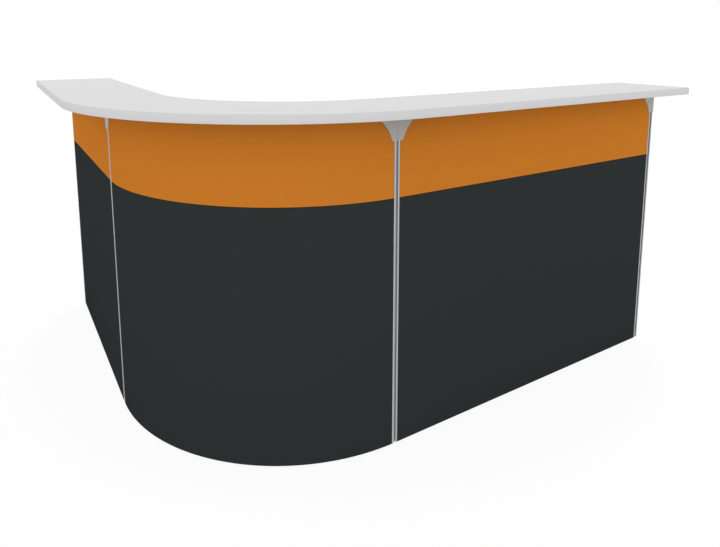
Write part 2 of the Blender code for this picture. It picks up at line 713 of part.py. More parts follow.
def make_ports(finishes, origin):
    cap_low = WORKTOP_HEIGHT + SEAT_GAP + PORT_RIM_THICKNESS - PORT_CAP_THICKNESS
    cap_high = cap_low + PORT_CAP_THICKNESS
    grey = finishes["grey_plastic"]
    for name, spot in (("corner", corner_port_spot()), ("right", right_port_spot())):
        liner = turned(port_liner_profile(), ROUND_STEPS, is_ring=True)
        piece(f"{name}_port_liner", liner, grey, origin, spot)
        cap = slab(port_cap_outline(), (X_AXIS, Y_AXIS, UP), cap_low, cap_high)
        round_edges(piece(f"{name}_port_cap", cap, grey, origin, spot), PORT_CAP_EDGE, segments=1)


def main():
    clear_scene()
    finishes = make_finishes()
    origin = bpy.data.objects.new("counter_origin", None)
    origin.location = -PLAN_MIDDLE
    bpy.context.collection.objects.link(origin)
    posts = list_posts()
    make_screens(finishes, origin)
    for post in posts:
        make_post(post, finishes, origin)
        make_bracket(post, finishes, origin)
        make_arm(post, finishes, origin)
    make_ledge(finishes, origin)
    make_worktop(finishes, origin)
    make_legs(finishes, origin)
    make_feet(posts, finishes, origin)
    make_ports(finishes, origin)


main()
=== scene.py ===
"""Looks of the L-shaped reception counter: fabric tiles, laminated boards, posts, fittings and a studio.

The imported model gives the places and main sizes. The values here add what is finer than its solids.
"""

import math

import bmesh
import bpy
from bpy.props import FloatProperty, FloatVectorProperty, IntProperty, PointerProperty
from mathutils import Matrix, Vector


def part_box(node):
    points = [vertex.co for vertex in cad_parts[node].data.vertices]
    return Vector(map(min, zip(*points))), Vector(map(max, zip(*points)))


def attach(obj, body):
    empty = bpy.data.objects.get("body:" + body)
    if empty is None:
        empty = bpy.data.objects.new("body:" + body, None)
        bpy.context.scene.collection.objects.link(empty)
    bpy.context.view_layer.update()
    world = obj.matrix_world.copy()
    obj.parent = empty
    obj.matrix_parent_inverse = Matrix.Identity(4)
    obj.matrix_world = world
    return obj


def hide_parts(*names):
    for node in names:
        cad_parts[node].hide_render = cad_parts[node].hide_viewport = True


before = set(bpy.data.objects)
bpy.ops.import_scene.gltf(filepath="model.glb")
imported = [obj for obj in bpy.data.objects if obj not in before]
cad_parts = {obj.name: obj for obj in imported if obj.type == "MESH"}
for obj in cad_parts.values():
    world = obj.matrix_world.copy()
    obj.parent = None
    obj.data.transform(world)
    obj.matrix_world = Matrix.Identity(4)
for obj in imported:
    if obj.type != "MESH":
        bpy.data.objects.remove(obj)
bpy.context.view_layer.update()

bl_info = {
    "name": "Reception counter looks",
    "version": (1, 0, 0),
    "blender": (4, 5, 0),
    "location": "View3D > Sidebar > Counter",
    "description": "Dresses the packed reception counter with its fabric, boards, fittings and studio",
    "category": "Object",
}

BODY = "counter"
WINGS = ("left", "right")
AREAS = ("left", "corner", "right")
POSTS = ("left_corner", "left_end", "right_corner", "right_end")
PORTS = ("corner", "right")
RAILS = ("bottom_rail", "middle_rail", "top_rail")
SHARP_ANGLE = math.radians(32)
FLAT_ANGLE = 0.001
SEAT_GAP = 0.0003
RUNNING_GAP = 0.0004
QUARTER_TURNS = (0, math.pi / 6, math.pi / 3, math.pi / 2)

# Steps of small arcs
LIP_STEPS = 4
WELD_STEPS = 4
TOE_STEPS = 8
SLOT_STEPS = 10
NOTCH_STEPS = 20
ARM_STEPS = 32
FLARE_STEPS = 36

# Places of screws, as shares of the plate or arm that they hold
PLATE_ROWS = (0.22, 0.78)
PLATE_SCREWS = (0.1, 0.36, 0.64, 0.9)
BRACKET_ROWS = (-0.72, 0.72)
END_BRACKET_ROWS = (-0.8, -0.1)
BRACKET_SCREWS = (0.09, 0.30, 0.72, 0.92)
ARM_ROW = 0.6
ARM_SCREWS = (0.10, 0.5, 0.93)

# A screw's head from rim to top, its socket's corners and floor, as shares of its radius and height
HEAD_PROFILE = ((1.0, 0.0), (1.0, 0.25), (0.93, 0.62), (0.76, 0.92), (0.58, 1.0))
SOCKET_REACH = 0.46
SOCKET_FLOOR = 0.25
SOCKET_MIDDLE = (0.1, 0.2)

# The slot in an arm's web: start and end as shares of its reach, drop and half height as shares of its rise
ARM_SLOT = (1 / 8, 3 / 8)
ARM_SLOT_DROP = 1 / 4
ARM_SLOT_HALF = 1 / 12

# Shape of a foot's pad: greatest share of its height for the rim, least share of its radius for the neck
PAD_RIM_SHARE = 0.45
PAD_NECK_SHARE = 0.42
PAD_DOME_SHARE = 0.86
PAD_DOME_TURNS = (0.3, 0.7, 1.1, 1.45)


def middle(node):
    low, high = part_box(node)
    return (low + high) / 2


# Plan of the counter: where the outer faces lie, and the circle that joins them
LEFT_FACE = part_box("left_outer_lower_tile")[0].x
RIGHT_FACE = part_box("right_outer_lower_tile")[0].y
CORNER = Vector((middle("right_corner_post").x, middle("left_corner_post").y))
CORNER_RADIUS = CORNER.x - LEFT_FACE
TILE_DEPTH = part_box("right_outer_lower_tile")[1].y - RIGHT_FACE
SCREEN_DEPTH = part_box("right_inner_lower_tile")[1].y - RIGHT_FACE
MID_SCREEN = SCREEN_DEPTH / 2
POST_LOW, POST_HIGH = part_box("right_corner_post")
HALF_POST = (POST_HIGH.x - POST_LOW.x) / 2
POST_FRONT = POST_LOW.y - RIGHT_FACE
POST_BACK = POST_HIGH.y - RIGHT_FACE
POST_RUNS = {
    "left_corner": 0.0,
    "left_end": middle("left_end_post").y - CORNER.y,
    "right_corner": 0.0,
    "right_end": middle("right_end_post").x - CORNER.x,
}


def run_span(node):
    """How far along its wing's outer face a node starts and ends."""
    low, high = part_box(node)
    if node.startswith("right"):
        return low.x - CORNER.x, high.x - CORNER.x
    return low.y - CORNER.y, high.y - CORNER.y


def depth_span(node):
    """How deep behind its wing's outer face a node starts and ends."""
    low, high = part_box(node)
    if node.startswith("right"):
        return low.y - RIGHT_FACE, high.y - RIGHT_FACE
    return low.x - LEFT_FACE, high.x - LEFT_FACE


def height_span(node):
    low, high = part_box(node)
    return low.z, high.z


def length(name, description, default):
    return FloatProperty(
        name=name,
        description=description,
        default=default,
        min=0.0,
        precision=5,
        unit="LENGTH",
        subtype="DISTANCE",
    )


def colour(name, description, default):
    return FloatVectorProperty(
        name=name, description=description, default=default, min=0.0, max=1.0, size=3, subtype="COLOR"
    )


def share(name, description, default):
    return FloatProperty(
        name=name, description=description, default=default, min=0.0, max=1.0, subtype="FACTOR"
    )


def strength(name, description, default):
    return FloatProperty(name=name, description=description, default=default, min=0.0)


def angle(name, description, degrees):
    return FloatProperty(
        name=name,
        description=description,
        default=math.radians(degrees),
        unit="ROTATION",
        subtype="ANGLE",
    )


class CounterFinishes(bpy.types.PropertyGroup):
    orange: colour("Orange", "Colour of the upper fabric tiles", (0.612, 0.2025, 0.0242))
    charcoal: colour("Charcoal", "Colour of the lower fabric tiles", (0.0298, 0.0352, 0.0366))
    white: colour("White", "Colour of the laminate on the boards", (0.721, 0.728, 0.724))
    band: colour("Edge band", "Colour of the bands on the boards' edges", (0.666, 0.671, 0.668))
    silver: colour("Silver", "Colour of the anodised posts and legs", (0.460, 0.464, 0.468))
    grey: colour("Grey", "Colour of the powder coat on brackets and arms", (0.425, 0.414, 0.402))
    zinc: colour("Zinc", "Colour of plated steel", (0.560, 0.570, 0.590))
    plastic: colour("Plastic grey", "Colour of port liners, caps and end covers", (0.200, 0.210, 0.220))
    black: colour("Black", "Colour of the feet", (0.020, 0.020, 0.021))
    weave_pitch: length("Weave pitch", "Distance from thread to thread of the fabric", 0.0013)


class CounterSizes(bpy.types.PropertyGroup):
    tile_edge: length("Tile edge", "How round the wrapped edges of the tiles are", 0.0016)
    corner_steps: IntProperty(
        name="Corner steps", description="Steps of the rounded corner", default=72, min=8
    )
    band_thickness: length("Band thickness", "Thickness of the edge bands", 0.0012)
    band_joint: length("Band joint", "Fine joint between band and laminate", 0.00008)
    band_edge: length("Band edge", "How round the edges of the bands are", 0.0009)
    worktop_sweep: length("Worktop sweep", "Radius of the worktop's inner corner", 0.350)
    slot_mouth: length("Slot mouth", "Width of the groove outside and of the slot's mouth inside", 0.0076)
    groove_depth: length("Groove depth", "Depth of the groove in a post's outer face", 0.0060)
    slot_width: length("Slot width", "Width of the slot inside behind its lips", 0.011)
    slot_depth: length("Slot depth", "Depth of the slot in a post's inner face", 0.0062)
    slot_lip: length("Slot lip", "Thickness of the slot's lips", 0.0016)
    channel_depth: length("Channel depth", "Depth of the channels in a post's sides", 0.0025)
    post_edge: length("Post edge", "How round the lips of a post are", 0.0006)
    post_bore: length("Post bore", "Radius of the hole in a post for its foot's stem", 0.0033)
    cover_edge: length("Cover edge", "How round the edges of the end covers are", 0.0003)
    bracket_height: length("Bracket height", "Height of a ledge bracket's plate", 0.079)
    bracket_head: length("Bracket head", "Width of a bracket at the ledge", 0.176)
    bracket_foot: length("Bracket foot", "Width of a bracket at its foot", 0.0392)
    bracket_flare: length("Bracket flare", "Radius of a bracket's hollow sides", 0.125)
    bracket_corner: length("Bracket corner", "Radius of the corners of a bracket's foot", 0.003)
    bracket_plate: length("Bracket plate", "Thickness of a bracket's plate", 0.0012)
    bracket_rim: length("Bracket rim", "Width of the bevel round a bracket's plate", 0.0005)
    bracket_seam: length("Bracket seam", "Width of the groove down a bracket's plate", 0.0010)
    seam_depth: length("Seam depth", "Depth of the groove down a bracket's plate", 0.0009)
    flange: length("Flange", "Thickness of the plates that carry the boards", 0.003)
    plate_corner: length("Plate corner", "Corner radius of flat steel plates", 0.012)
    plate_edge: length("Plate edge", "How round the edges of steel plates are", 0.0005)
    arm_web: length("Arm web", "Thickness of an arm's upright sheet", 0.003)
    arm_tip: length("Arm tip", "Height of an arm at its free end", 0.028)
    arm_sag: length("Arm sag", "How far an arm's underside is hollowed", 0.025)
    arm_margin: length("Arm margin", "From post to flange, and from web to flange end", 0.012)
    hook_inset: length("Hook inset", "Distance of an arm's hooks from the ends of its root", 0.012)
    hook_height: length("Hook height", "Height of an arm's hooks", 0.026)
    leg_plate: length("Leg plate", "Thickness of a leg's head plate", 0.004)
    leg_wall: length("Leg wall", "Thickness of a leg's tube", 0.002)
    leg_plug: length("Leg plug", "Height of the plug in a leg's lower end", 0.014)
    leg_bore: length("Leg bore", "Radius of the hole in a leg's plug", 0.0043)
    leg_weld: length("Leg weld", "Size of the weld under a leg's head plate", 0.0035)
    leg_edge: length("Leg edge", "How round the edges of a leg are", 0.0006)
    post_stem: length("Post stem", "Radius of the threaded stem under a post", 0.0030)
    leg_stem: length("Leg stem", "Radius of the threaded stem under a leg", 0.0040)
    pad_rim: length("Pad rim", "Height of a foot's upright rim", 0.004)
    pad_edge: length("Pad edge", "How round a foot's lower edge is", 0.0009)
    stem_collar: length("Stem collar", "Width of a foot's collar round its stem", 0.002)
    screw_head: length("Screw head", "Radius of a screw's head", 0.0046)
    screw_rise: length("Screw rise", "Height of a screw's head", 0.0022)
    thread_pitch: length("Thread pitch", "Pitch of the feet's threads", 0.00125)
    thread_depth: length("Thread depth", "Depth of the feet's threads", 0.0006)
    port_hole: length("Port hole", "Radius of the hole for a cable port", 0.030)
    port_rim: length("Port rim", "Thickness of a port's rim", 0.002)
    port_edge: length("Port edge", "How round a port's rim is", 0.0012)
    port_wall: length("Port wall", "Thickness of a port's sleeve", 0.003)
    port_step: length("Port step", "Width and height of the step that carries a cap", 0.002)
    notch_width: length("Notch width", "Width of a cap's opening for cables", 0.015)
    notch_depth: length("Notch depth", "Depth of a cap's opening for cables", 0.017)
    cap_edge: length("Cap edge", "How round a cap's edges are", 0.0006)
    round_steps: IntProperty(name="Round steps", description="Steps of turned pieces", default=64, min=8)


class CounterStage(bpy.types.PropertyGroup):
    camera_place: FloatVectorProperty(
        name="Camera place",
        description="Where the camera stands",
        default=(-1.2043, -2.0733, 1.2365),
        size=3,
        unit="LENGTH",
        subtype="XYZ",
    )
    heading: angle("Heading", "Turn of the camera from +Y towards +X", 32.13)
    tilt: angle("Tilt", "How far the camera looks down", 8.40)
    lens: FloatProperty(name="Lens", description="Focal length on a 36 mm sensor", default=29.73, min=1.0)
    shift_x: FloatProperty(name="Shift X", description="Sideways shift of the picture", default=0.0019)
    shift_y: FloatProperty(name="Shift Y", description="Upward shift of the picture", default=-0.20655)
    horizon: strength("Horizon", "Light from all round at the height of the eye", 1.46)
    zenith: strength("Zenith", "Light from straight above", 0.54)
    key: strength("Key", "Light of the lamp on a surface that faces it", 0.12)
    key_rise: angle("Key rise", "How high the lamp stands", 35.0)
    key_turn: angle("Key turn", "Which way the lamp stands from +X", 232.0)
    softness: angle("Softness", "How wide the lamp looks from the counter", 60.0)
    floor_bounce: share("Floor bounce", "How much light the floor throws back", 0.66)
    floor_tone: share("Floor tone", "How much of the floor's brightness takes shadows", 0.18)
    floor_level: strength("Floor level", "Light that falls on the open floor", 0.75)


# Node helpers for the finishes


def add_node(tree, kind, inputs=(), **settings):
    """A node whose inputs take a value or the output of another node."""
    node = tree.nodes.new(kind)
    for name, value in settings.items():
        setattr(node, name, value)
    for socket, value in dict(inputs).items():
        if isinstance(value, bpy.types.NodeSocket):
            tree.links.new(value, node.inputs[socket])
        else:
            node.inputs[socket].default_value = value
    return node


def sums(tree, operation, first, second=0.0):
    """Output of a Math node."""
    return add_node(tree, "ShaderNodeMath", {0: first, 1: second}, operation=operation).outputs[0]


def spread(tree, value, low, high):
    """A 0 to 1 value mapped to a range."""
    node = add_node(tree, "ShaderNodeMapRange", {"Value": value, "To Min": low, "To Max": high})
    return node.outputs["Result"]


def blended(tree, factor, first, second):
    """The first value where the factor is 0, the second where it is 1."""
    return add_node(tree, "ShaderNodeMix", {"Factor": factor, "A": first, "B": second}).outputs["Result"]


def grain(tree, where, scale, detail=2.0, roughness=0.5):
    """Noise from 0 to 1 at a place that may be stretched beforehand."""
    inputs = {"Vector": where, "Scale": scale, "Detail": detail, "Roughness": roughness}
    return add_node(tree, "ShaderNodeTexNoise", inputs).outputs["Fac"]


def stretched(tree, where, scale):
    inputs = {"Vector": where, "Scale": scale}
    return add_node(tree, "ShaderNodeMapping", inputs).outputs["Vector"]


def tinted(tree, base, factor):
    """The colour made darker or lighter by a factor about 1."""
    inputs = {"Vector": base, "Scale": factor}
    return add_node(tree, "ShaderNodeVectorMath", inputs, operation="SCALE").outputs["Vector"]


def relief(tree, height, strength, distance):
    inputs = {"Height": height, "Strength": strength, "Distance": distance}
    return add_node(tree, "ShaderNodeBump", inputs).outputs["Normal"]


def new_finish(name, **sockets):
    """A material with its shader's constants set, and its tree, shader and object coordinates."""
    material = bpy.data.materials.new(name)
    material.use_nodes = True
    tree = material.node_tree
    shader = tree.nodes["Principled BSDF"]
    for socket, value in sockets.items():
        shader.inputs[socket.replace("_", " ")].default_value = value
    place = tree.nodes.new("ShaderNodeTexCoord").outputs["Object"]
    return material, tree, shader, place


def link(tree, shader, **sources):
    for socket, source in sources.items():
        tree.links.new(source, shader.inputs[socket.replace("_", " ")])


def shaded(tree, tone, *parts):
    """The tone made uneven by noises, each given with the range that it adds."""
    shade = spread(tree, *parts[0])
    for part in parts[1:]:
        shade = sums(tree, "ADD", shade, spread(tree, *part))
    return tinted(tree, (*tone,), shade)


def woven(name, tone):
    """Plain weave: threads that pass over and under each other, slightly uneven in tone and thickness."""
    pitch = bpy.context.scene.counter_finishes.weave_pitch
    dip = 0.55
    material, tree, shader, _ = new_finish(name, Roughness=0.95, Specular_IOR_Level=0.0)
    cloth = add_node(tree, "ShaderNodeUVMap", uv_map="cloth").outputs["UV"]
    axes = add_node(tree, "ShaderNodeSeparateXYZ", {0: cloth}).outputs
    across = sums(tree, "DIVIDE", axes["X"], pitch)
    along = sums(tree, "DIVIDE", axes["Y"], pitch)
    half_turns = [sums(tree, "MULTIPLY", sums(tree, "FRACT", axis), math.pi) for axis in (across, along)]
    warp, weft = (sums(tree, "SINE", half_turn) for half_turn in half_turns)
    cells = sums(tree, "ADD", sums(tree, "FLOOR", across), sums(tree, "FLOOR", along))
    is_weft = sums(tree, "FLOORED_MODULO", cells, 2.0)
    over_warp = sums(tree, "MULTIPLY", sums(tree, "SQRT", warp), spread(tree, weft, dip, 1.0))
    over_weft = sums(tree, "MULTIPLY", sums(tree, "SQRT", weft), spread(tree, warp, dip, 1.0))
    thread = blended(tree, is_weft, over_warp, over_weft)
    yarn_across = grain(tree, stretched(tree, cloth, (60.0, 900.0, 1.0)), 1.0)
    yarn_along = grain(tree, stretched(tree, cloth, (900.0, 60.0, 1.0)), 1.0)
    heather = blended(tree, is_weft, yarn_along, yarn_across)
    mottle = grain(tree, cloth, 130.0, 3.0)
    tones = shaded(tree, tone, (thread, 0.90, 1.05), (heather, -0.10, 0.10), (mottle, -0.045, 0.045))
    height = sums(tree, "ADD", thread, spread(tree, heather, -0.25, 0.25))
    link(tree, shader, Base_Color=tones, Normal=relief(tree, height, 0.35, pitch * 0.25))
    return material


def laminate(name, tone, roughness, shine):
    """White board surface with a faint pearl texture and an uneven gloss."""
    material, tree, shader, place = new_finish(name, Specular_IOR_Level=shine)
    cloud = grain(tree, place, 5.0, 4.0)
    pearl = grain(tree, place, 1600.0, 2.0)
    gloss = grain(tree, place, 30.0, 4.0)
    link(tree, shader, Base_Color=shaded(tree, tone, (cloud, 0.988, 1.012), (pearl, -0.012, 0.012)))
    link(tree, shader, Roughness=spread(tree, gloss, roughness - 0.05, roughness + 0.05))
    link(tree, shader, Normal=relief(tree, pearl, 0.12, 0.00006))
    return material


def anodised(name, tone):
    """Extruded aluminium: fine lines along its length under a satin oxide."""
    material, tree, shader, place = new_finish(name, Metallic=1.0, Anisotropic=0.4)
    lines = grain(tree, stretched(tree, place, (2600.0, 2600.0, 9.0)), 1.0, 3.0)
    cloud = grain(tree, stretched(tree, place, (40.0, 40.0, 6.0)), 1.0, 2.0)
    link(tree, shader, Base_Color=shaded(tree, tone, (lines, 0.82, 1.16), (cloud, -0.03, 0.03)))
    link(tree, shader, Roughness=spread(tree, lines, 0.26, 0.48))
    link(tree, shader, Normal=relief(tree, lines, 0.10, 0.00005))
    return material


def powder_coat(name, tone):
    """Satin paint with a fine orange-peel surface."""
    material, tree, shader, place = new_finish(name, Metallic=0.25, Specular_IOR_Level=0.4)
    peel = grain(tree, place, 900.0, 2.0)
    cloud = grain(tree, place, 24.0, 3.0)
    link(tree, shader, Base_Color=shaded(tree, tone, (cloud, 0.97, 1.03), (peel, -0.03, 0.03)))
    link(tree, shader, Roughness=spread(tree, cloud, 0.42, 0.54))
    link(tree, shader, Normal=relief(tree, peel, 0.22, 0.00012))
    return material


def plated(name, tone):
    """Zinc plating with a cloudy, slightly uneven shine."""
    material, tree, shader, place = new_finish(name, Metallic=1.0)
    cells = add_node(tree, "ShaderNodeTexVoronoi", {"Vector": place, "Scale": 120.0}).outputs["Distance"]
    cloud = grain(tree, place, 45.0, 4.0)
    link(tree, shader, Base_Color=shaded(tree, tone, (cloud, 0.90, 1.06), (cells, -0.03, 0.05)))
    link(tree, shader, Roughness=spread(tree, cloud, 0.30, 0.48))
    link(tree, shader, Normal=relief(tree, cloud, 0.05, 0.0002))
    return material


def moulded(name, tone):
    """Plastic with a fine eroded mould texture."""
    material, tree, shader, place = new_finish(name, Specular_IOR_Level=0.4)
    speck = grain(tree, place, 2200.0, 3.0, 0.6)
    cloud = grain(tree, place, 60.0, 3.0)
    link(tree, shader, Base_Color=shaded(tree, tone, (speck, 0.93, 1.07), (cloud, -0.03, 0.03)))
    link(tree, shader, Roughness=spread(tree, cloud, 0.46, 0.60))
    link(tree, shader, Normal=relief(tree, speck, 0.25, 0.00008))
    return material


# How each finish is made, from which tone, and a laminate's roughness and shine
MAKERS = {
    "orange_cloth": (woven, "orange"),
    "charcoal_cloth": (woven, "charcoal"),
    "board_laminate": (laminate, "white", 0.34, 0.15),
    "edge_band": (laminate, "band", 0.55, 0.02),
    "silver_oxide": (anodised, "silver"),
    "grey_coat": (powder_coat, "grey"),
    "bright_zinc": (plated, "zinc"),
    "grey_moulding": (moulded, "plastic"),
    "black_moulding": (moulded, "black"),
}


def finish(name):
    """The finish of this name, made the first time that it is asked for."""
    made = bpy.data.materials.get(name)
    if made:
        return made
    make, tone, *gloss = MAKERS[name]
    return make(name, getattr(bpy.context.scene.counter_finishes, tone), *gloss)


# Mesh helpers


def on_plan(area, run, depth):
    """Point of the plan this far along an area's outer face and this deep behind it."""
    if area == "right":
        return Vector((CORNER.x + run, RIGHT_FACE + depth))
    if area == "left":
        return Vector((LEFT_FACE + depth, CORNER.y + run))
    turn = run / CORNER_RADIUS
    return CORNER - Vector((math.cos(turn), math.sin(turn))) * (CORNER_RADIUS - depth)


def at_post(post):
    """Gives places from how far along, how deep and how high they are from a post's middle."""
    wing = post.split("_")[0]

    def put(along, depth, height):
        spot = on_plan(wing, POST_RUNS[post] + along, depth)
        return Vector((spot.x, spot.y, height))

    return put


def arc(centre, radius, start, end, steps):
    turns = [start + (end - start) * i / steps for i in range(steps + 1)]
    return [(centre[0] + radius * math.cos(a), centre[1] + radius * math.sin(a)) for a in turns]


def hollow_arc(first, last, radius, steps):
    """Points of an arc of this radius from first to last, bowed to the left of the way there."""
    start = Vector(first)
    end = Vector(last)
    half = (end - start) / 2
    side = Vector((half.y, -half.x)).normalized()
    centre = start + half + side * math.sqrt(radius**2 - half.length_squared)
    turn = 2 * math.asin(half.length / radius)
    from_centre = start - centre
    begin = math.atan2(from_centre.y, from_centre.x)
    return arc(centre, radius, begin, begin - turn, steps)


def rounded_box(low, high, radius, steps=6):
    corners = (
        (low[0] + radius, low[1] + radius),
        (high[0] - radius, low[1] + radius),
        (high[0] - radius, high[1] - radius),
        (low[0] + radius, high[1] - radius),
    )
    outline = []
    for quarter, centre in enumerate(corners):
        begin = math.pi + quarter * math.pi / 2
        outline += arc(centre, radius, begin, begin + math.pi / 2, steps)
    return outline


def circle(centre, radius, steps):
    return arc(centre, radius, 0, 2 * math.pi, steps)[:-1]


def face_outward(mesh):
    """Turns every face of a closed mesh to the outside."""
    bmesh.ops.recalc_face_normals(mesh, faces=mesh.faces[:])
    if mesh.calc_volume(signed=True) < 0:
        bmesh.ops.reverse_faces(mesh, faces=mesh.faces[:])


def prism(outline, low, high, put, holes=()):
    """Closed solid of an outline between two levels; put gives the place of two coordinates and a level."""
    mesh = bmesh.new()
    for loop in (outline, *holes):
        corners = [mesh.verts.new(put(u, v, low)) for u, v in loop]
        for near, far in zip(corners, corners[1:] + corners[:1]):
            mesh.edges.new((near, far))
    bmesh.ops.triangle_fill(mesh, use_beauty=True, edges=mesh.edges[:])
    bmesh.ops.dissolve_limit(mesh, angle_limit=FLAT_ANGLE, verts=mesh.verts[:], edges=mesh.edges[:])
    raised = bmesh.ops.extrude_face_region(mesh, geom=mesh.faces[:])
    lifted = [item for item in raised["geom"] if isinstance(item, bmesh.types.BMVert)]
    bmesh.ops.translate(mesh, verts=lifted, vec=put(0, 0, high) - put(0, 0, low))
    face_outward(mesh)
    return mesh


def flat_put(u, v, level):
    return Vector((u, v, level))


def ringed(rings, is_closed_along=False):
    """Closed solid through rings of points; the ends are capped unless the last ring meets the first."""
    mesh = bmesh.new()
    loops = [[mesh.verts.new(spot) for spot in ring] for ring in rings]
    pairs = list(zip(loops, loops[1:]))
    if is_closed_along:
        pairs.append((loops[-1], loops[0]))
    for first, second in pairs:
        for i in range(len(first)):
            j = (i + 1) % len(first)
            mesh.faces.new((first[i], first[j], second[j], second[i]))
    if not is_closed_along:
        mesh.faces.new(loops[0])
        mesh.faces.new(loops[-1])
    face_outward(mesh)
    return mesh


def about(spot, radius, turn, height):
    """Place at this distance and turn from an upright axis over a spot."""
    return Vector((spot.x + radius * math.cos(turn), spot.y + radius * math.sin(turn), height))


def softened(reach, level, edge, rise):
    """Radii and heights of a rounded outer edge; it ends upright at reach, rise above (or below) level."""
    corner = [(1 - math.sin(turn), 1 - math.cos(turn)) for turn in QUARTER_TURNS]
    return [(reach - edge * inward, level + rise * edge * along) for inward, along in corner]


def turned(profile, spot, steps, is_ring=False):
    """Solid of a profile of radius and height turned about an upright axis over a spot."""
    turns = [2 * math.pi * i / steps for i in range(steps)]
    rings = []
    for radius, height in profile:
        rings.append([about(spot, radius, a, height) for a in turns])
    return ringed(rings, is_ring)


def joined(meshes):
    """One mesh of several."""
    whole = bmesh.new()
    for mesh in meshes:
        data = bpy.data.meshes.new("part")
        mesh.to_mesh(data)
        mesh.free()
        whole.from_mesh(data)
        bpy.data.meshes.remove(data)
    return whole


def piece(name, mesh, finish_name, body=BODY, nodes=()):
    """A named piece that rides on a body and stands for the nodes given."""
    data = bpy.data.meshes.new(name)
    mesh.to_mesh(data)
    mesh.free()
    data.materials.append(finish(finish_name))
    data.shade_smooth()
    data.set_sharp_from_angle(angle=SHARP_ANGLE)
    thing = bpy.data.objects.new(name, data)
    bpy.context.scene.collection.objects.link(thing)
    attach(thing, body)
    if nodes:
        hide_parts(*nodes)
    return thing


def round_edges(thing, width, segments=2):
    bevel = thing.modifiers.new("edges", "BEVEL")
    bevel.width = width
    bevel.segments = segments
    bevel.limit_method = "ANGLE"
    bevel.angle_limit = SHARP_ANGLE
    bevel.harden_normals = True
    return thing


def screw(spot, sizes):
    """Round screw head with a hexagonal socket, seated under a surface at a spot."""
    sides = 6
    steps = 4
    count = sides * steps
    radius = sizes.screw_head
    rise = sizes.screw_rise

    def ring(reach, drop):
        turns = [2 * math.pi * i / count for i in range(count)]
        return [about(spot, radius * reach, turn, spot.z - rise * drop) for turn in turns]

    def socket(drop):
        corners = [about(Vector(), 1.0, 2 * math.pi * i / sides, 0) for i in range(sides)]
        points = []
        for near, far in zip(corners, corners[1:] + corners[:1]):
            points += [near.lerp(far, i / steps) for i in range(steps)]
        return [spot + p * radius * SOCKET_REACH - Vector((0, 0, rise * drop)) for p in points]

    rings = [ring(reach, drop) for reach, drop in HEAD_PROFILE]
    rings += [socket(1.0), socket(SOCKET_FLOOR), ring(*SOCKET_MIDDLE)]
    return ringed(rings)


def screws(owner, spots, sizes):
    """All screws of a piece, in one."""
    piece(f"{owner}_screws", joined([screw(spot, sizes) for spot in spots]), "bright_zinc")


# Pieces


def corner_runs(node, depths):
    """How far along the corner's outer face a bent node starts and ends."""
    gap = CORNER.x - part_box(node)[1].x
    trim = math.asin(gap / (CORNER_RADIUS - depths[1])) * CORNER_RADIUS
    return trim, CORNER_RADIUS * math.pi / 2 - trim


def tile_spans(node, area):
    """How far along, how deep and how high a tile reaches."""
    heights = height_span(node)
    if area != "corner":
        return run_span(node), depth_span(node), heights
    depths = depth_span(node.replace("corner", "right"))
    return corner_runs(node, depths), depths, heights


def wrapped_tile(area, spans, is_inner, sizes):
    """A thin board with soft edges, bent to the plan, whose cloth coordinates run on over its edges."""
    runs, depths, heights = spans
    edge = sizes.tile_edge
    count = sizes.corner_steps if area == "corner" else 1
    rings = []
    for i in range(count + 1):
        run = runs[0] + (runs[1] - runs[0]) * i / count
        section = ((0, 0), (1, 0), (1, 1), (0, 1))
        rings.append([Vector((run, depths[d], heights[h])) for d, h in section])
    mesh = ringed(rings)
    sharp = [e for e in mesh.edges if e.calc_face_angle(0) > SHARP_ANGLE]
    bmesh.ops.bevel(mesh, geom=sharp, offset=edge, segments=4, profile=0.5, affect="EDGES")
    cloth = mesh.loops.layers.uv.new("cloth")
    just_past = 1.01
    reach = edge * just_past
    for face in mesh.faces:
        for loop in face.loops:
            run, depth, height = loop.vert.co
            wrap = depths[1] - depth if is_inner else depth - depths[0]
            up = (height > heights[1] - reach) - (height < heights[0] + reach)
            on = (run > runs[1] - reach) - (run < runs[0] + reach)
            loop[cloth].uv = (run + on * wrap, height + up * wrap)
    for vert in mesh.verts:
        spot = on_plan(area, vert.co.x, vert.co.y)
        vert.co = Vector((spot.x, spot.y, vert.co.z))
    face_outward(mesh)
    return mesh


class COUNTER_OT_fabric_tiles(bpy.types.Operator):
    """Covers both faces of the screens with tiles wrapped in fabric"""

    bl_idname = "counter.fabric_tiles"
    bl_label = "Fabric tiles"

    def execute(self, context):
        sizes = context.scene.counter_sizes
        for area in AREAS:
            for face in ("outer", "inner"):
                for level, cloth in (("lower", "charcoal_cloth"), ("upper", "orange_cloth")):
                    node = f"{area}_{face}_{level}_tile"
                    mesh = wrapped_tile(area, tile_spans(node, area), face == "inner", sizes)
                    piece(f"{area}_{face}_{level}_cloth", mesh, cloth, nodes=[node])
        return {"FINISHED"}


class COUNTER_OT_screen_rails(bpy.types.Operator):
    """Gives the rails inside the screens their plating"""

    bl_idname = "counter.screen_rails"
    bl_label = "Screen rails"

    def execute(self, context):
        for area in AREAS:
            for rail in RAILS:
                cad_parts[f"{area}_{rail}"].material_slots[0].material = finish("bright_zinc")
        return {"FINISHED"}


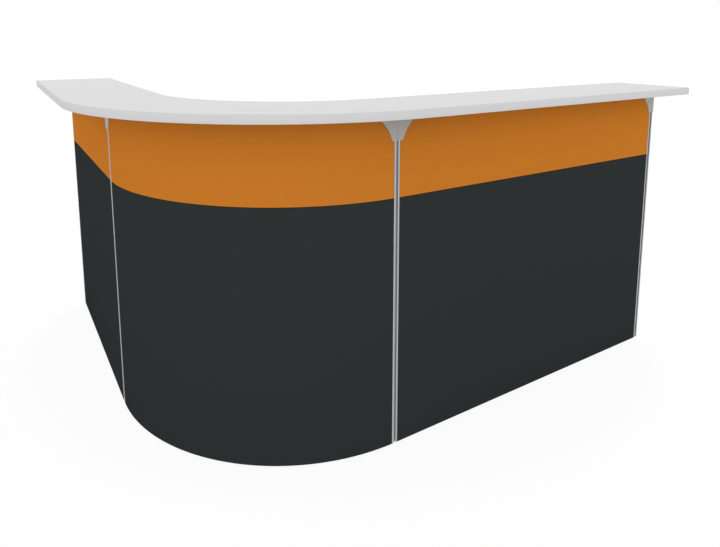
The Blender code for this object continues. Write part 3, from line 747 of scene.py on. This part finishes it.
def post_section(sizes):
    """Outline of a post: a groove with rounded lips outside, a T-slot inside and a channel in each side."""
    mouth = sizes.slot_mouth / 2
    slot = sizes.slot_width / 2
    edge = sizes.post_edge
    half_channel = (SCREEN_DEPTH - 2 * TILE_DEPTH) / 2
    channel = HALF_POST - sizes.channel_depth

    def rounded_lip(face, way):
        inner = arc((mouth + edge, face + way * edge), edge, math.pi, math.pi + way * math.pi / 2, LIP_STEPS)
        outer = arc((HALF_POST - edge, face + way * edge), edge, -way * math.pi / 2, 0, LIP_STEPS)
        return inner + outer

    right_half = [
        (mouth, POST_FRONT + sizes.groove_depth),
        *rounded_lip(POST_FRONT, 1),
        (HALF_POST, MID_SCREEN - half_channel),
        (channel, MID_SCREEN - half_channel),
        (channel, MID_SCREEN + half_channel),
        (HALF_POST, MID_SCREEN + half_channel),
        *reversed(rounded_lip(POST_BACK, -1)),
        (mouth, POST_BACK - sizes.slot_lip),
        (slot, POST_BACK - sizes.slot_lip),
        (slot, POST_BACK - sizes.slot_depth),
    ]
    return right_half + [(-s, d) for s, d in reversed(right_half)]


class COUNTER_OT_posts(bpy.types.Operator):
    """Makes the slotted posts and the strips that close their free sides"""

    bl_idname = "counter.posts"
    bl_label = "Posts"

    def execute(self, context):
        sizes = context.scene.counter_sizes
        for post in POSTS:
            node = f"{post}_post"
            bore = circle((0, MID_SCREEN), sizes.post_bore, sizes.round_steps // 2)
            mesh = prism(post_section(sizes), *height_span(node), at_post(post), [bore])
            piece(f"{post}_extrusion", mesh, "silver_oxide", nodes=[node])
        for wing in WINGS:
            self.end_cover(wing, sizes)
        return {"FINISHED"}

    def end_cover(self, wing, sizes):
        node = f"{wing}_end_cover"
        front, back = depth_span(node)
        width = sizes.channel_depth - SEAT_GAP
        wall = width / 2
        outline = [
            (HALF_POST, front),
            (HALF_POST, back),
            (HALF_POST - width, back),
            (HALF_POST - width, back - wall),
            (HALF_POST - wall, back - wall),
            (HALF_POST - wall, front + wall),
            (HALF_POST - width, front + wall),
            (HALF_POST - width, front),
        ]
        mesh = prism(outline, *height_span(node), at_post(f"{wing}_end"))
        strip = piece(f"{wing}_end_strip", mesh, "grey_moulding", nodes=[node])
        round_edges(strip, sizes.cover_edge)


def edge_strip(outer, inner, heights, edge):
    """Solid of a thin band between two lines of the plan, with its outer edges rounded."""
    low, high = heights
    thickness = (outer[0] - inner[0]).length
    soft = min(edge / thickness, 1.0)
    bottom = [(1 - soft * (1 - math.sin(a)), low + edge * (1 - math.cos(a))) for a in QUARTER_TURNS]
    top = [(t, low + high - z) for t, z in reversed(bottom)]
    profile = [(0.0, low), *bottom, *top, (0.0, high)]
    rings = []
    for near, far in zip(inner, outer):
        rings.append([Vector((*near.lerp(far, t), z)) for t, z in profile])
    return ringed(rings)


def corner_line(runs, depth, steps):
    """Line along the rounded corner at a depth."""
    return [on_plan("corner", runs[0] + (runs[1] - runs[0]) * i / steps, depth) for i in range(steps + 1)]


def wing_line(node, first, last):
    """Gives a straight board's outline, from its seam round its free end, moved in by a distance."""
    wing = node.split("_")[0]
    start, end = run_span(node)
    way = math.copysign(1, last - first)

    def line(inset):
        near, far = first + way * inset, last - way * inset
        corners = ((start, near), (end - inset, near), (end - inset, far), (start, far))
        return [on_plan(wing, s, d) for s, d in corners]

    return line


def banded_board(node, lines, heights, sizes, holes=()):
    """A board and its bands; each line gives the outer face of a band, moved in by a distance."""
    thickness = sizes.band_thickness
    front, *back = [line(thickness + sizes.band_joint) for line in lines.values()]
    outline = front + [spot for line in back for spot in reversed(line)]
    mesh = prism(outline, heights[0], heights[1], flat_put, holes)
    piece(f"{node}_board", mesh, "board_laminate", nodes=[node])
    for band, line in lines.items():
        mesh = edge_strip(line(0.0), line(thickness), heights, sizes.band_edge)
        piece(f"{node}_{band}", mesh, "edge_band")


class COUNTER_OT_ledge(bpy.types.Operator):
    """Makes the ledge's boards with a band on each edge that shows"""

    bl_idname = "counter.ledge"
    bl_label = "Ledge"

    def execute(self, context):
        sizes = context.scene.counter_sizes
        front, back = depth_span("right_ledge")
        heights = height_span("right_ledge")
        for wing in WINGS:
            node = f"{wing}_ledge"
            banded_board(node, {"band": wing_line(node, front, back)}, heights, sizes)
        steps = sizes.corner_steps
        runs = corner_runs("corner_ledge", (front, back))
        lines = {
            "outer_band": lambda inset: corner_line(runs, front + inset, steps),
            "inner_band": lambda inset: corner_line(runs, back - inset, steps),
        }
        banded_board("corner_ledge", lines, heights, sizes)
        return {"FINISHED"}


def port_holes(area, sizes):
    """The hole for the cable port in an area's worktop, where there is one."""
    if area not in PORTS:
        return []
    return [circle(middle(f"{area}_port_liner"), sizes.port_hole, sizes.round_steps)]


class COUNTER_OT_worktop(bpy.types.Operator):
    """Makes the worktop's boards, their bands and the plates under their seams"""

    bl_idname = "counter.worktop"
    bl_label = "Worktop"

    def execute(self, context):
        sizes = context.scene.counter_sizes
        heights = height_span("right_worktop")
        for wing in WINGS:
            node = f"{wing}_worktop"
            back, front = depth_span(node)
            lines = {"band": wing_line(node, front, back)}
            banded_board(node, lines, heights, sizes, port_holes(wing, sizes))
            self.joint_plate(wing, sizes)
        lines = self.corner_lines(sizes)
        banded_board("corner_worktop", lines, heights, sizes, port_holes("corner", sizes))
        return {"FINISHED"}

    def corner_lines(self, sizes):
        """The corner board's swept front and its back along the screen."""
        low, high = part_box("corner_worktop")
        fronts = (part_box("left_worktop")[1].x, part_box("right_worktop")[1].y)
        sweep = sizes.worktop_sweep
        sweep_centre = (fronts[0] + sweep, fronts[1] + sweep)

        def swept(centre, radius, left, right):
            curve = arc(centre, radius, math.pi, 1.5 * math.pi, sizes.corner_steps)
            return [Vector(p) for p in ((left, high.y), *curve, (high.x, right))]

        return {
            "front_band": lambda inset: swept(
                sweep_centre, sweep + inset, fronts[0] - inset, fronts[1] - inset
            ),
            "back_band": lambda inset: swept(
                CORNER, CORNER.x - low.x - inset, low.x + inset, low.y + inset
            ),
        }

    def joint_plate(self, wing, sizes):
        node = f"{wing}_joint_plate"
        low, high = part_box(node)
        mesh = prism(rounded_box(low, high, sizes.plate_corner), low.z, high.z, flat_put)
        plate = piece(f"{wing}_seam_plate", mesh, "bright_zinc", nodes=[node])
        round_edges(plate, sizes.plate_edge)
        spots = []
        for across in PLATE_ROWS:
            for along in PLATE_SCREWS:
                shares = Vector((across, along, 0) if wing == "right" else (along, across, 0))
                spots.append(low + (high - low) * shares)
        screws(f"{wing}_seam_plate", spots, sizes)


def flare_line(sizes):
    """Half widths and heights of a bracket's side, from the rounded foot up to the head."""
    head = sizes.bracket_head / 2
    foot = sizes.bracket_foot / 2
    radius = sizes.bracket_corner
    corner = radius - sizes.bracket_height
    toe = arc((foot - radius, corner), radius, -math.pi / 2, 0, TOE_STEPS)
    flare = hollow_arc((-head, 0), (-foot, corner), sizes.bracket_flare, FLARE_STEPS)
    return toe[:-1] + [(-s, h) for s, h in reversed(flare)]


def flared_plate(sizes, is_end, put, top):
    """A bracket's front: a plate with bevelled rims and a shallow groove down its middle."""
    back = -SEAT_GAP
    face = back - sizes.bracket_plate
    rim = sizes.bracket_rim
    groove = sizes.bracket_seam / 2
    depth = sizes.seam_depth
    rings = []
    for half, height in flare_line(sizes):
        far = HALF_POST if is_end else half
        section = (
            (-half, back),
            (-half, face + rim),
            (-half + rim, face),
            (-groove, face),
            (-groove, face + depth),
            (groove, face + depth),
            (groove, face),
            (far - rim, face),
            (far, face + rim),
            (far, back),
        )
        rings.append([put(s, d, top + height) for s, d in section])
    return ringed(rings)


class COUNTER_OT_ledge_brackets(bpy.types.Operator):
    """Makes the flared brackets under the ledge and their screws"""

    bl_idname = "counter.ledge_brackets"
    bl_label = "Ledge brackets"

    def execute(self, context):
        for post in POSTS:
            self.bracket(post, context.scene.counter_sizes)
        return {"FINISHED"}

    def bracket(self, post, sizes):
        node = f"{post}_ledge_bracket"
        is_end = post.endswith("end")
        put = at_post(post)
        front, back = depth_span(node)
        top = height_span(node)[1]
        underside = top - sizes.flange
        head = sizes.bracket_head / 2
        far = HALF_POST if is_end else head
        outline = rounded_box((-head, front), (far, back), sizes.plate_corner)
        flange = piece(f"{post}_bracket_flange", prism(outline, underside, top, put), "grey_coat")
        round_edges(flange, sizes.plate_edge)
        plate = flared_plate(sizes, is_end, put, top)
        piece(f"{post}_bracket_plate", plate, "grey_coat", nodes=[node])
        spots = []
        for side in END_BRACKET_ROWS if is_end else BRACKET_ROWS:
            for depth in BRACKET_SCREWS:
                spots.append(put(side * head, front + (back - front) * depth, underside))
        screws(f"{post}_bracket", spots, sizes)


class COUNTER_OT_arms(bpy.types.Operator):
    """Makes the arms that carry the worktop, with their screws"""

    bl_idname = "counter.arms"
    bl_label = "Arms"

    def execute(self, context):
        for post in POSTS:
            self.arm(post, context.scene.counter_sizes)
        return {"FINISHED"}

    def arm(self, post, sizes):
        node = f"{post}_arm"
        put = at_post(post)
        hook_end, flange_end = depth_span(node)
        foot, high = height_span(node)
        start, end = (run - POST_RUNS[post] for run in run_span(node))
        sheet = sizes.arm_web
        top = high - sheet
        root = POST_BACK + SEAT_GAP
        reach = flange_end - sizes.arm_margin - POST_BACK
        tip = root + reach
        rise = high - foot
        chord = math.hypot(reach, rise - sizes.arm_tip)
        radius = (chord**2 / 4 + sizes.arm_sag**2) / (2 * sizes.arm_sag)
        under = hollow_arc((root, foot), (tip, high - sizes.arm_tip), radius, ARM_STEPS)
        hooks = []
        for hook in (foot + sizes.hook_inset, high - sizes.hook_inset - sizes.hook_height):
            hook_top = hook + sizes.hook_height
            hooks += [(root, hook), (hook_end, hook), (hook_end, hook_top), (root, hook_top)]
        outline = [(root, top), (tip, top)] + under[::-1] + hooks
        slot_start, slot_end = (POST_BACK + reach * part for part in ARM_SLOT)
        slot_height = high - rise * ARM_SLOT_DROP
        slot_half = rise * ARM_SLOT_HALF
        slot_low = (slot_start, slot_height - slot_half)
        slot_high = (slot_end, slot_height + slot_half)
        slot = rounded_box(slot_low, slot_high, slot_half - SEAT_GAP, SLOT_STEPS)
        web = prism(outline, -sheet / 2, sheet / 2, lambda d, h, s: put(s, d, h), [slot])
        flange_start = POST_BACK + sizes.arm_margin
        plate = rounded_box((start, flange_start), (end, flange_end), sizes.plate_corner)
        flange = prism(plate, top, high, put)
        thing = piece(f"{post}_cantilever", joined([web, flange]), "grey_coat", nodes=[node])
        round_edges(thing, sizes.plate_edge)
        room = sheet + 2 * sizes.screw_head
        rows = [edge * ARM_ROW for edge in (start, end) if abs(edge) > room]
        spots = [put(row, POST_BACK + depth * reach, top) for row in rows for depth in ARM_SCREWS]
        screws(f"{post}_cantilever", spots, sizes)


class COUNTER_OT_legs(bpy.types.Operator):
    """Makes the worktop's tube legs with their head plates and screws"""

    bl_idname = "counter.legs"
    bl_label = "Legs"

    def execute(self, context):
        for wing in WINGS:
            self.leg(wing, context.scene.counter_sizes)
        return {"FINISHED"}

    def leg(self, wing, sizes):
        node = f"{wing}_leg"
        low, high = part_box(node)
        spot = middle(node)
        plate = (high.x - low.x) / 2
        tube = plate / 2
        inside = tube - sizes.leg_wall
        bore = sizes.leg_bore
        neck = high.z - sizes.leg_plate
        plug = low.z + sizes.leg_plug
        edge = sizes.leg_edge
        weld = sizes.leg_weld
        bead = arc((0, 0), weld, math.pi / 2, 0, WELD_STEPS)
        fillet = [(tube + weld - x, neck - weld + z) for x, z in bead]
        profile = [
            (edge, high.z),
            *softened(plate, high.z, edge, -1),
            *softened(plate, neck, edge, 1)[::-1],
            *fillet,
            *softened(tube, low.z, edge, 1)[::-1],
            (bore + edge, low.z),
            (bore, low.z + edge),
            (bore, plug),
            (inside, plug),
            (inside, neck),
            (edge, neck),
        ]
        mesh = turned(profile, spot, sizes.round_steps)
        piece(f"{wing}_leg_tube", mesh, "silver_oxide", nodes=[node])
        reach = (plate + tube) / 2
        spots = [about(spot, reach, math.pi * (i + 0.5) / 2, neck) for i in range(4)]
        screws(f"{wing}_leg", spots, sizes)


def threaded(spot, radius, low, high, sizes):
    """A rod with a helical thread and plain ends."""
    count = 20
    rows_per_turn = 5
    rows = max(2, round((high - low) / sizes.thread_pitch * rows_per_turn))
    rings = []
    for row in range(rows + 1):
        height = low + (high - low) * row / rows
        ring = []
        for i in range(count):
            turn = 2 * math.pi * i / count
            phase = (height / sizes.thread_pitch - i / count) % 1.0
            depth = sizes.thread_depth * abs(2 * phase - 1)
            reach = radius - depth if 0 < row < rows else radius - sizes.thread_depth
            ring.append(about(spot, reach, turn, height))
        rings.append(ring)
    return ringed(rings)


class COUNTER_OT_feet(bpy.types.Operator):
    """Makes the levelling feet: a glide and a threaded stem for each post and leg"""

    bl_idname = "counter.feet"
    bl_label = "Feet"

    def execute(self, context):
        sizes = context.scene.counter_sizes
        for post in POSTS:
            self.foot(f"{post}_foot", sizes.post_stem, height_span(f"{post}_post")[0], sizes)
        for wing in WINGS:
            self.foot(f"{wing}_leg_foot", sizes.leg_stem, height_span(f"{wing}_leg")[0], sizes)
        return {"FINISHED"}

    def foot(self, node, stem, above, sizes):
        low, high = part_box(node)
        spot = middle(node)
        pad = (high.x - low.x) / 2
        top = above - RUNNING_GAP
        rim = min(top * PAD_RIM_SHARE, sizes.pad_rim)
        neck = max(stem + sizes.stem_collar, pad * PAD_NECK_SHARE)
        dome_rise = (top - rim) * PAD_DOME_SHARE
        dome = [(neck + (pad - neck) * math.cos(a), rim + dome_rise * math.sin(a)) for a in PAD_DOME_TURNS]
        profile = [
            (stem, low.z),
            *softened(pad, low.z, sizes.pad_edge, 1),
            (pad, rim),
            *dome,
            (neck, top),
            (stem, top),
        ]
        mesh = turned(profile, spot, sizes.round_steps)
        piece(f"{node}_glide", mesh, "black_moulding", body=node, nodes=[node])
        mesh = threaded(spot, stem, top, high.z, sizes)
        piece(f"{node}_stem", mesh, "bright_zinc", body=node)


class COUNTER_OT_ports(bpy.types.Operator):
    """Makes the cable ports' liners and turning caps"""

    bl_idname = "counter.ports"
    bl_label = "Cable ports"

    def execute(self, context):
        sizes = context.scene.counter_sizes
        for port in PORTS:
            self.liner(port, sizes)
            self.cap(port, sizes)
        return {"FINISHED"}

    def liner(self, port, sizes):
        node = f"{port}_port_liner"
        low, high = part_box(node)
        rim = (high.x - low.x) / 2
        sleeve = sizes.port_hole - SEAT_GAP
        inside = sleeve - sizes.port_wall
        step = inside - sizes.port_step
        rim_low = high.z - sizes.port_rim
        step_high = height_span(f"{port}_port_cap")[0] - RUNNING_GAP
        step_low = step_high - sizes.port_step
        profile = [
            (inside, high.z - SEAT_GAP),
            (inside + SEAT_GAP, high.z),
            *softened(rim, high.z, sizes.port_edge, -1),
            (rim, rim_low),
            (sleeve, rim_low),
            (sleeve, low.z),
            (inside, low.z),
            (inside, step_low),
            (step, step_low),
            (step, step_high),
            (inside, step_high),
        ]
        mesh = turned(profile, middle(node), sizes.round_steps, is_ring=True)
        piece(f"{port}_port_sleeve", mesh, "grey_moulding", nodes=[node])

    def cap(self, port, sizes):
        node = f"{port}_port_cap"
        low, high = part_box(node)
        spot = middle(f"{port}_port_liner")
        radius = (high.y - low.y) / 2
        half = sizes.notch_width / 2
        opening = math.asin(half / radius)
        rim = arc((spot.x, spot.y), radius, opening, 2 * math.pi - opening, sizes.round_steps)
        notch_centre = (spot.x + radius - sizes.notch_depth + half, spot.y)
        notch = arc(notch_centre, half, 1.5 * math.pi, 0.5 * math.pi, NOTCH_STEPS)
        mesh = prism(rim + notch, low.z, high.z, flat_put)
        lid = piece(f"{port}_port_lid", mesh, "grey_moulding", body=node, nodes=[node])
        round_edges(lid, sizes.cap_edge, 3)


class COUNTER_OT_stage(bpy.types.Operator):
    """Sets up the pale floor, the soft light and the camera"""

    bl_idname = "counter.stage"
    bl_label = "Stage"

    def execute(self, context):
        scene = context.scene
        stage = scene.counter_stage
        scene.view_settings.view_transform = "Standard"
        self.world(scene, stage)
        self.lamp(scene, stage)
        self.floor(scene, stage)
        self.camera(scene, stage)
        return {"FINISHED"}

    def shown_to_eye(self, tree):
        """1 for rays that come from the camera or by way of a shine or a clear surface, otherwise 0."""
        rays = tree.nodes.new("ShaderNodeLightPath").outputs
        seen = sums(tree, "MAXIMUM", rays["Is Camera Ray"], rays["Is Glossy Ray"])
        return sums(tree, "MAXIMUM", seen, rays["Is Transmission Ray"])

    def shown_instead(self, tree, lighting, shown):
        """One shader lights the counter, and the eye is shown the other."""
        inputs = {0: self.shown_to_eye(tree), 1: lighting.outputs[0], 2: shown.outputs[0]}
        return add_node(tree, "ShaderNodeMixShader", inputs).outputs[0]

    def world(self, scene, stage):
        world = bpy.data.worlds.new("studio")
        scene.world = world
        world.use_nodes = True
        tree = world.node_tree
        tree.nodes.clear()
        way = tree.nodes.new("ShaderNodeTexCoord").outputs["Generated"]
        rise = add_node(tree, "ShaderNodeSeparateXYZ", {0: way}).outputs["Z"]
        level = spread(tree, rise, stage.horizon, stage.zenith)
        around = add_node(tree, "ShaderNodeBackground", {"Color": (1, 1, 1, 1), "Strength": level})
        white = add_node(tree, "ShaderNodeBackground", {"Color": (1, 1, 1, 1), "Strength": 1.0})
        add_node(tree, "ShaderNodeOutputWorld", {"Surface": self.shown_instead(tree, around, white)})

    def lamp(self, scene, stage):
        lamp = bpy.data.lights.new("key_lamp", "SUN")
        lamp.energy = stage.key * math.pi
        lamp.angle = stage.softness
        thing = bpy.data.objects.new("key_lamp", lamp)
        flat = math.cos(stage.key_rise)
        way = about(Vector(), flat, stage.key_turn, math.sin(stage.key_rise))
        distance = 5.0
        thing.location = way * distance
        thing.rotation_euler = way.to_track_quat("Z", "Y").to_euler()
        scene.collection.objects.link(thing)

    def floor(self, scene, stage):
        """A floor that shows white where no shadow falls, and takes shadows on part of its brightness."""
        bounce = stage.floor_bounce
        tone = stage.floor_tone
        reach = 30.0
        corners = ((-reach, -reach), (reach, -reach), (reach, reach), (-reach, reach))
        mesh = bmesh.new()
        mesh.faces.new([mesh.verts.new((x, y, 0)) for x, y in corners])
        data = bpy.data.meshes.new("floor")
        mesh.to_mesh(data)
        mesh.free()
        material = bpy.data.materials.new("pale_floor")
        material.use_nodes = True
        tree = material.node_tree
        tree.nodes.clear()
        matt = add_node(tree, "ShaderNodeBsdfDiffuse", {"Color": (bounce, bounce, bounce, 1)})
        shaded = add_node(tree, "ShaderNodeBsdfDiffuse", {"Color": (tone, tone, tone, 1)})
        level = 1 - tone * stage.floor_level
        shine = add_node(tree, "ShaderNodeEmission", {"Color": (1, 1, 1, 1), "Strength": level})
        seen = add_node(tree, "ShaderNodeAddShader", {0: shaded.outputs[0], 1: shine.outputs[0]})
        add_node(tree, "ShaderNodeOutputMaterial", {"Surface": self.shown_instead(tree, matt, seen)})
        data.materials.append(material)
        thing = bpy.data.objects.new("floor", data)
        scene.collection.objects.link(thing)

    def camera(self, scene, stage):
        camera = bpy.data.cameras.new("camera")
        camera.sensor_fit = "HORIZONTAL"
        camera.sensor_width = 36.0
        camera.lens = stage.lens
        camera.shift_x = stage.shift_x
        camera.shift_y = stage.shift_y
        camera.clip_end = 100.0
        thing = bpy.data.objects.new("camera", camera)
        thing.location = stage.camera_place
        thing.rotation_euler = (math.pi / 2 - stage.tilt, 0, -stage.heading)
        scene.collection.objects.link(thing)
        scene.camera = thing


class COUNTER_PT_looks(bpy.types.Panel):
    """Lists the counter's pieces and values"""

    bl_idname = "COUNTER_PT_looks"
    bl_label = "Reception counter"
    bl_space_type = "VIEW_3D"
    bl_region_type = "UI"
    bl_category = "Counter"

    def draw(self, context):
        for operator in OPERATORS:
            self.layout.operator(operator.bl_idname)
        for name in GROUPS:
            group = getattr(context.scene, name)
            box = self.layout.box()
            for value in group.__annotations__:
                box.prop(group, value)


OPERATORS = (
    COUNTER_OT_fabric_tiles,
    COUNTER_OT_screen_rails,
    COUNTER_OT_posts,
    COUNTER_OT_ledge,
    COUNTER_OT_worktop,
    COUNTER_OT_ledge_brackets,
    COUNTER_OT_arms,
    COUNTER_OT_legs,
    COUNTER_OT_feet,
    COUNTER_OT_ports,
    COUNTER_OT_stage,
)
GROUPS = {
    "counter_finishes": CounterFinishes,
    "counter_sizes": CounterSizes,
    "counter_stage": CounterStage,
}


def register():
    for group in (*GROUPS.values(), *OPERATORS, COUNTER_PT_looks):
        bpy.utils.register_class(group)
    for name, group in GROUPS.items():
        setattr(bpy.types.Scene, name, PointerProperty(type=group))


def unregister():
    for name in GROUPS:
        delattr(bpy.types.Scene, name)
    for group in (COUNTER_PT_looks, *reversed(OPERATORS), *reversed(GROUPS.values())):
        bpy.utils.unregister_class(group)


def main():
    register()
    for operator in OPERATORS:
        family, name = operator.bl_idname.split(".")
        getattr(getattr(bpy.ops, family), name)()


if __name__ == "__main__":
    main()
